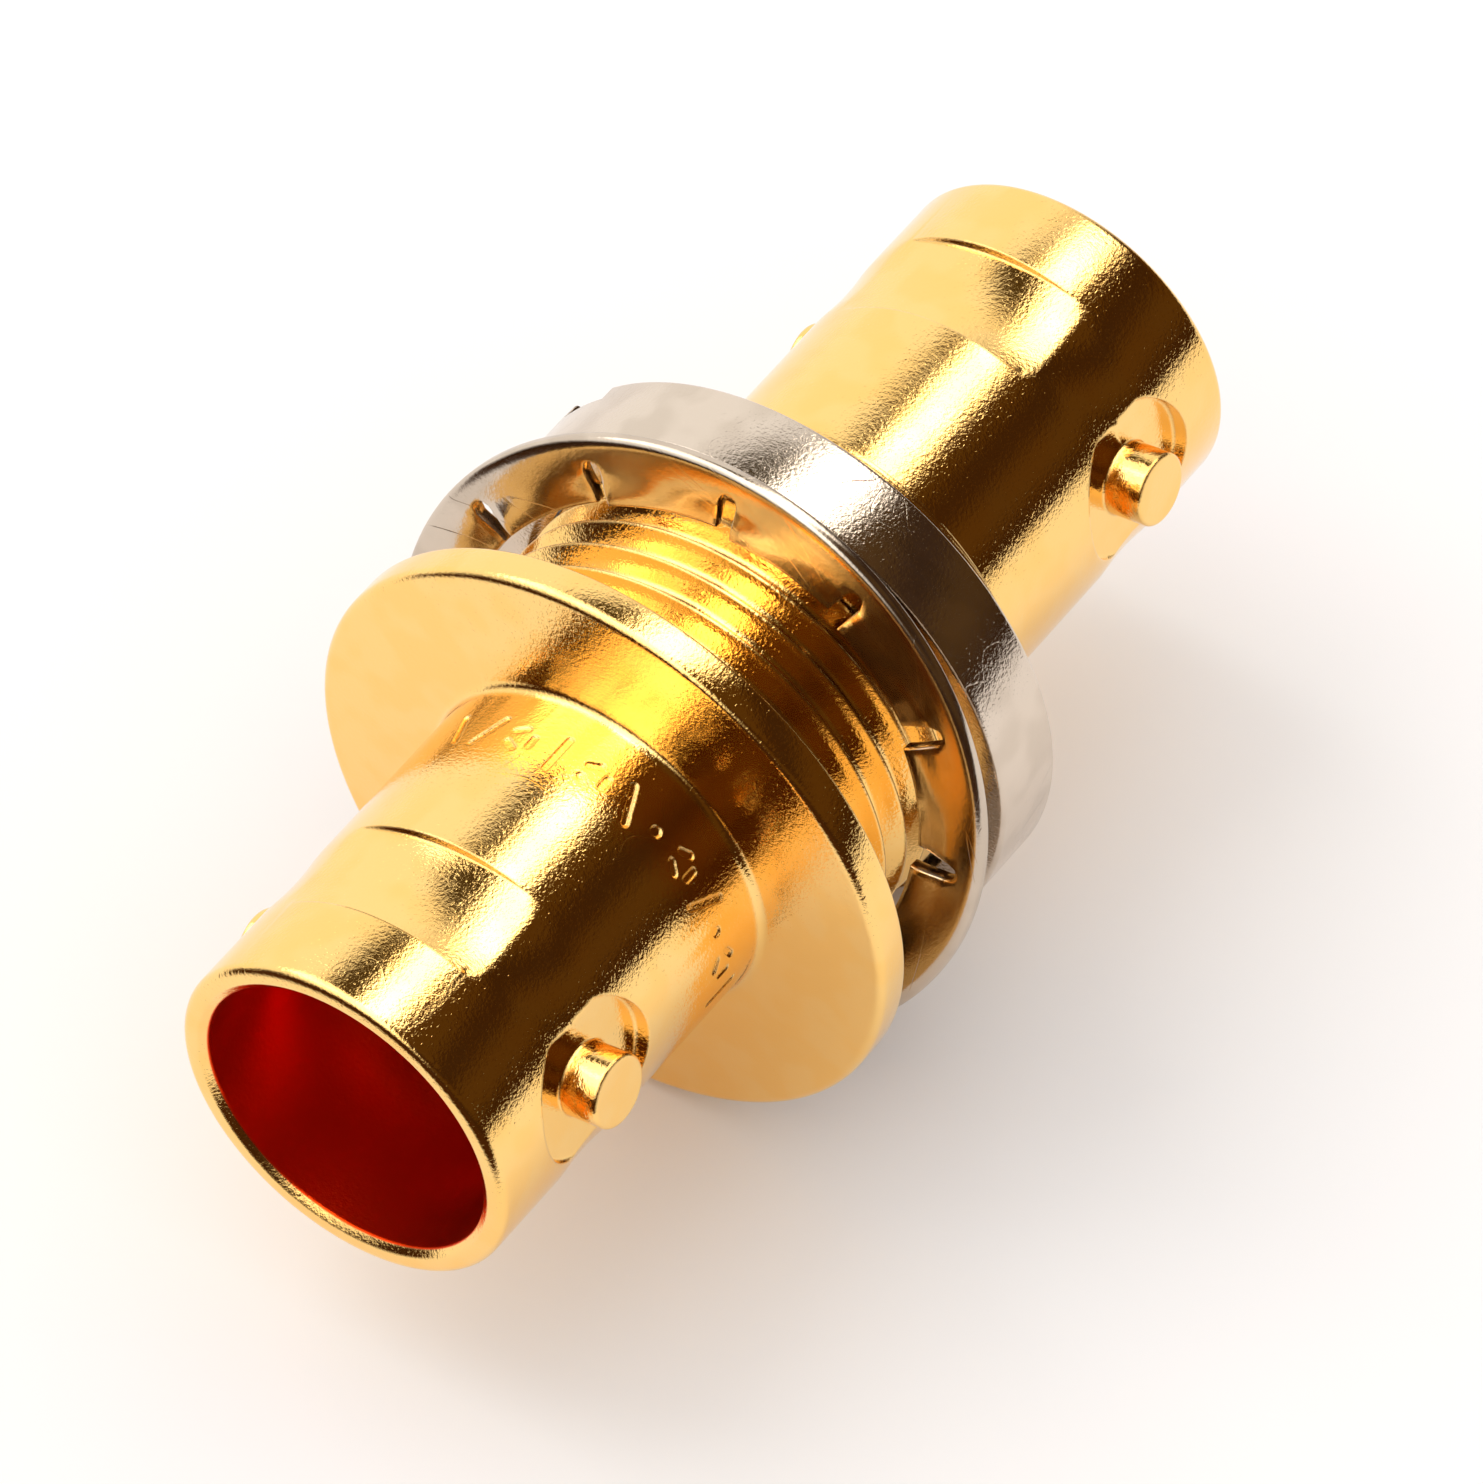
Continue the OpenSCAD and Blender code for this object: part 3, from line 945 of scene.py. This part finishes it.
studio = {
    "tableGap": 8.52 * mm,         # axis to table
    "tableRadius": 0.16,
    "tableColor": (0.93, 0.92, 0.915, 1),
    "mirrorDarkEdge": 26.5 * mm,        # where the table turns dark for reflected rays only, a painted dark reflection
    "mirrorDarkSide": -150.0,
    # painted reflection: the dark colour that reflected rays see on the table past that edge
    "mirrorDarkColor": (0.05, 0.02, 0.006, 1),
    "keyPower": 0.85,
    "keySize": 0.42,
    "keyDistance": 0.55,
    "keyAzimuth": -62.0,           # degrees to the right of straight away from the camera
    "keyElevation": 52.0,
    "fillColor": (1.0, 0.978, 0.968, 1),
    "wallColor": (1.17, 1.15, 1.12, 1),
    "ceilingColor": (0.07, 0.045, 0.015, 1),
    "windowColor": (2.4, 2.4, 2.3, 1),
    "darkColor": (0.042, 0.017, 0.004, 1),
    "warmColor": (0.085, 0.040, 0.007, 1),
    "lampColor": (5.2, 5.0, 4.6, 1),
    "lampAzimuth": 38.0,           # the long lamp overhead runs along this line
    "lampShift": -1.2,
    "lampHalfWidth": (2.0, 16.5),
    "lampNearShare": 0.3,
}


def onTable(azimuth, elevation):
    a = math.radians(azimuth)
    e = math.radians(elevation)
    return (awayDirection * math.cos(a) + cameraRight * math.sin(a)) * math.cos(e) + tableUp * math.sin(e)


def makeTable(settings):
    bpy.ops.mesh.primitive_circle_add(vertices=96, radius=settings["tableRadius"], fill_type="NGON")
    table = bpy.context.object
    table.name = "table"
    middle = (cadLow + cadHigh) / 2
    centre = Vector((0, 0, middle.z)) - tableUp * settings["tableGap"]
    table.matrix_world = Matrix.Translation(centre) @ tableUp.to_track_quat("Z", "Y").to_matrix().to_4x4()
    material = bpy.data.materials.new("tablePaper")
    material.use_nodes = True
    tree = material.node_tree
    tree.nodes.clear()
    where = addNode(tree, "ShaderNodeTexCoord").outputs["Object"]
    grain = addNode(tree, "ShaderNodeTexNoise", None, Vector=where, Scale=900.0, Detail=4.0)
    bump = addNode(tree, "ShaderNodeBump", None, Strength=0.2, Distance=2e-5, Height=grain.outputs[0])
    # painted reflection: past an edge on one side, the table is dark to reflected rays only, while camera
    # rays still see it pale
    toEdge = onTable(settings["mirrorDarkSide"], 0)
    spot = addNode(tree, "ShaderNodeNewGeometry").outputs["Position"]
    along = calc(tree, "SUBTRACT", vectorCalc(tree, "DOT_PRODUCT", spot, tuple(toEdge)), toEdge.dot(centre))
    beyond = smoothStep(tree, along, settings["mirrorDarkEdge"] - 1 * mm, settings["mirrorDarkEdge"] + 4 * mm)
    mirrored = addNode(tree, "ShaderNodeLightPath").outputs["Is Glossy Ray"]
    color = mixColor(tree, calc(tree, "MULTIPLY", beyond, mirrored),
                     settings["tableColor"], settings["mirrorDarkColor"])
    paper = addNode(tree, "ShaderNodeBsdfDiffuse", None, Color=color, Normal=bump.outputs[0])
    clear = addNode(tree, "ShaderNodeBsdfTransparent")
    backside = addNode(tree, "ShaderNodeNewGeometry").outputs["Backfacing"]
    mixed = addNode(tree, "ShaderNodeMixShader", None, Fac=backside, i1=paper.outputs[0], i2=clear.outputs[0])
    addNode(tree, "ShaderNodeOutputMaterial", None, Surface=mixed.outputs[0])
    table.data.materials.append(material)
    return table


def makeKeyLamp(settings):
    data = bpy.data.lights.new("keyLamp", "AREA")
    data.shape = "DISK"
    data.size = settings["keySize"]
    data.energy = settings["keyPower"]
    data.color = (1.0, 0.98, 0.95)
    lamp = bpy.data.objects.new("keyLamp", data)
    scene.collection.objects.link(lamp)
    toLamp = onTable(settings["keyAzimuth"], settings["keyElevation"])
    target = (cadLow + cadHigh) / 2
    turn = toLamp.to_track_quat("Z", "Y").to_matrix().to_4x4()
    lamp.matrix_world = Matrix.Translation(target + toLamp * settings["keyDistance"]) @ turn
    return lamp


def makeSurroundings(settings):
    world = bpy.data.worlds.new("studio")
    scene.world = world
    world.use_nodes = True
    tree = world.node_tree
    tree.nodes.clear()
    direction = addNode(tree, "ShaderNodeTexCoord").outputs["Generated"]
    direction = vectorCalc(tree, "NORMALIZE", direction)
    up = vectorCalc(tree, "DOT_PRODUCT", direction, tuple(tableUp))
    side = vectorCalc(tree, "DOT_PRODUCT", direction, tuple(cameraRight))
    away = vectorCalc(tree, "DOT_PRODUCT", direction, tuple(awayDirection))
    azimuth = calc(tree, "MULTIPLY", calc(tree, "ARCTAN2", side, away), 180 / math.pi)
    elevation = calc(tree, "MULTIPLY", calc(tree, "ARCSINE", up), 180 / math.pi)

    alongLamp = vectorCalc(tree, "DOT_PRODUCT", direction, tuple(onTable(settings["lampAzimuth"], 0)))
    acrossLamp = vectorCalc(tree, "DOT_PRODUCT", direction, tuple(onTable(settings["lampAzimuth"] + 90, 0)))
    acrossLamp = calc(tree, "MULTIPLY", calc(tree, "ARCSINE", acrossLamp), 180 / math.pi)
    narrow, wide = settings["lampHalfWidth"]
    offLamp = calc(tree, "ABSOLUTE", calc(tree, "SUBTRACT", acrossLamp, settings["lampShift"]))
    lamp = smoothStep(tree, offLamp, narrow, wide, 1.0, 0.0)
    lamp = calc(tree, "MULTIPLY", lamp,
                smoothStep(tree, alongLamp, -0.5, -0.1, settings["lampNearShare"], 1.0))
    lamp = calc(tree, "MULTIPLY", lamp, smoothStep(tree, alongLamp, 0.62, 0.8, 1.0, 0.0))
    lamp = calc(tree, "MULTIPLY", lamp, smoothStep(tree, elevation, 8.0, 30.0))

    dark = mixColor(tree, calc(tree, "MULTIPLY", smoothStep(tree, elevation, 3.0, 14.0),
                               smoothStep(tree, elevation, 22.0, 34.0, 1.0, 0.0)),
                    settings["darkColor"], settings["warmColor"])
    dark = mixColor(tree, smoothStep(tree, elevation, 40.0, 48.0), dark, settings["warmColor"])
    wall = mixColor(tree, smoothStep(tree, elevation, 43.0, 54.0), settings["wallColor"],
                    settings["ceilingColor"])
    window = mixColor(tree, smoothStep(tree, elevation, 20.0, 46.0), settings["wallColor"],
                      settings["windowColor"])
    window = mixColor(tree, smoothStep(tree, elevation, 7.0, 19.0), settings["darkColor"], window)
    room = mixColor(tree, smoothStep(tree, azimuth, -168.0, -148.0), dark, window)
    room = mixColor(tree, smoothStep(tree, azimuth, -94.0, -72.0), room, wall)
    room = mixColor(tree, smoothStep(tree, azimuth, 2.0, 40.0), room, dark)
    shine = mixColor(tree, lamp, room, settings["lampColor"])
    path = addNode(tree, "ShaderNodeLightPath").outputs
    reflected = calc(tree, "MAXIMUM", path["Is Glossy Ray"], path["Is Transmission Ray"])
    color = mixColor(tree, reflected, settings["fillColor"], shine)
    color = mixColor(tree, path["Is Camera Ray"], color, (1, 1, 1, 1))
    light = addNode(tree, "ShaderNodeBackground", None, Color=color, Strength=1.0)
    addNode(tree, "ShaderNodeOutputWorld", None, Surface=light.outputs[0])
    return world


table = makeTable(studio)
makeKeyLamp(studio)
makeSurroundings(studio)
scene.view_settings.view_transform = "Standard"
print("studio made")


print("done")
